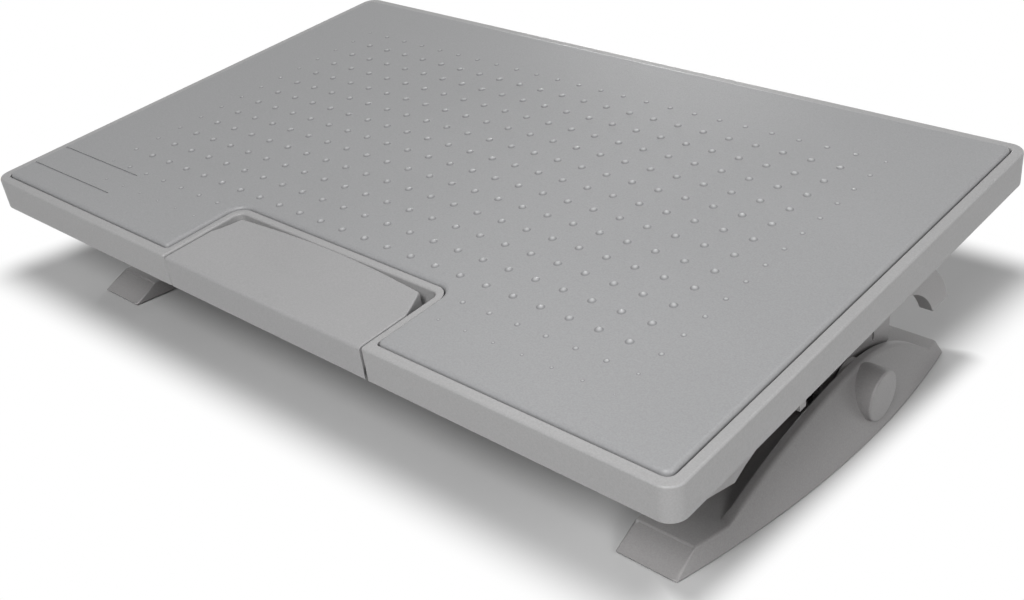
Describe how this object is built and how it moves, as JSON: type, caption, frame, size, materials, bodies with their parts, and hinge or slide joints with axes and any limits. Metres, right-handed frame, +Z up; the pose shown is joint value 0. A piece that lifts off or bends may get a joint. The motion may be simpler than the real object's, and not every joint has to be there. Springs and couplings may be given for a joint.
{
  "type": "tilting under desk footrest",
  "caption": "Wide plastic foot platform with a dotted tread that tilts on a cross axle between two arched feet; a pedal in the front edge frees a hidden brake.",
  "frame": {"origin": "on the floor, under the middle of the bounding box, with the platform at the tilt that the picture shows", "axes": "+X to the sitter's right along the platform's long side, +Y away from the sitter, +Z up"},
  "size_m": [0.55, 0.3494, 0.1435],
  "materials": {
    "tray": "fine-grained matt",
    "tread": "fine-grained matt",
    "pedal": "fine-grained matt",
    "frame": "matt",
    "foot": "fine-grained matt",
    "rubber": "matt",
    "steel": "satin",
    "lining": "matt"
  },
  "bodies": {
    "base": {"brake_drum": "steel", "cross_axle": "steel", "foot_left": "foot", "foot_pad_front_left": "rubber", "foot_pad_front_right": "rubber", "foot_pad_rear_left": "rubber", "foot_pad_rear_right": "rubber", "foot_right": "foot", "tie_bar": "steel"},
    "platform": {"axle_bush_left": "frame", "axle_bush_right": "frame", "brake_pivot_pin": "steel", "brake_spring": "steel", "hanger": "frame", "hanger_screw_left_1": "steel", "hanger_screw_left_2": "steel", "hanger_screw_right_1": "steel", "hanger_screw_right_2": "steel", "pedal_pin": "steel", "pedal_spring": "steel", "side_frame_left": "frame", "side_frame_right": "frame", "side_frame_screw_left_1": "steel", "side_frame_screw_left_2": "steel", "side_frame_screw_left_3": "steel", "side_frame_screw_right_1": "steel", "side_frame_screw_right_2": "steel", "side_frame_screw_right_3": "steel", "tray": "tray", "tread_panel": "tread"},
    "pedal": {"pedal": "pedal", "pedal_rod_pin": "steel"},
    "release_rod": {"release_rod": "steel"},
    "brake_lever": {"brake_lever": "frame", "brake_lining": "lining", "brake_rod_pin": "steel"}
  },
  "joints": [
    {"name": "platform_tilt", "type": "hinge", "parent": "base", "child": "platform", "pos_m": [0, 0.05687, 0.024], "axis": [1, 0, 0], "range_deg": [-7.78, 14.2]},
    {"name": "pedal_press", "type": "hinge", "parent": "platform", "child": "pedal", "pos_m": [0, -0.13197, 0.09126], "axis": [1, 0, 0], "range_deg": [0, 8], "stiffness_Nm_per_rad": 0.6, "springref_deg": -17.19, "deforming": ["pedal_spring"]},
    {"name": "rod_slide", "type": "slide", "parent": "platform", "child": "release_rod", "axis": [0, 0.9908, 0.1354], "range_m": [0, 0.0018]},
    {"name": "brake_release", "type": "hinge", "parent": "platform", "child": "brake_lever", "pos_m": [0, 0.0126, 0.07467], "axis": [1, 0, 0], "range_deg": [-4.2, 0], "deforming": ["brake_spring"]}
  ],
  "couplings": [
    {"joint": "rod_slide", "follows": "pedal_press", "m_per_rad": 0.012},
    {"joint": "brake_release", "follows": "pedal_press", "ratio": -0.5}
  ]
}
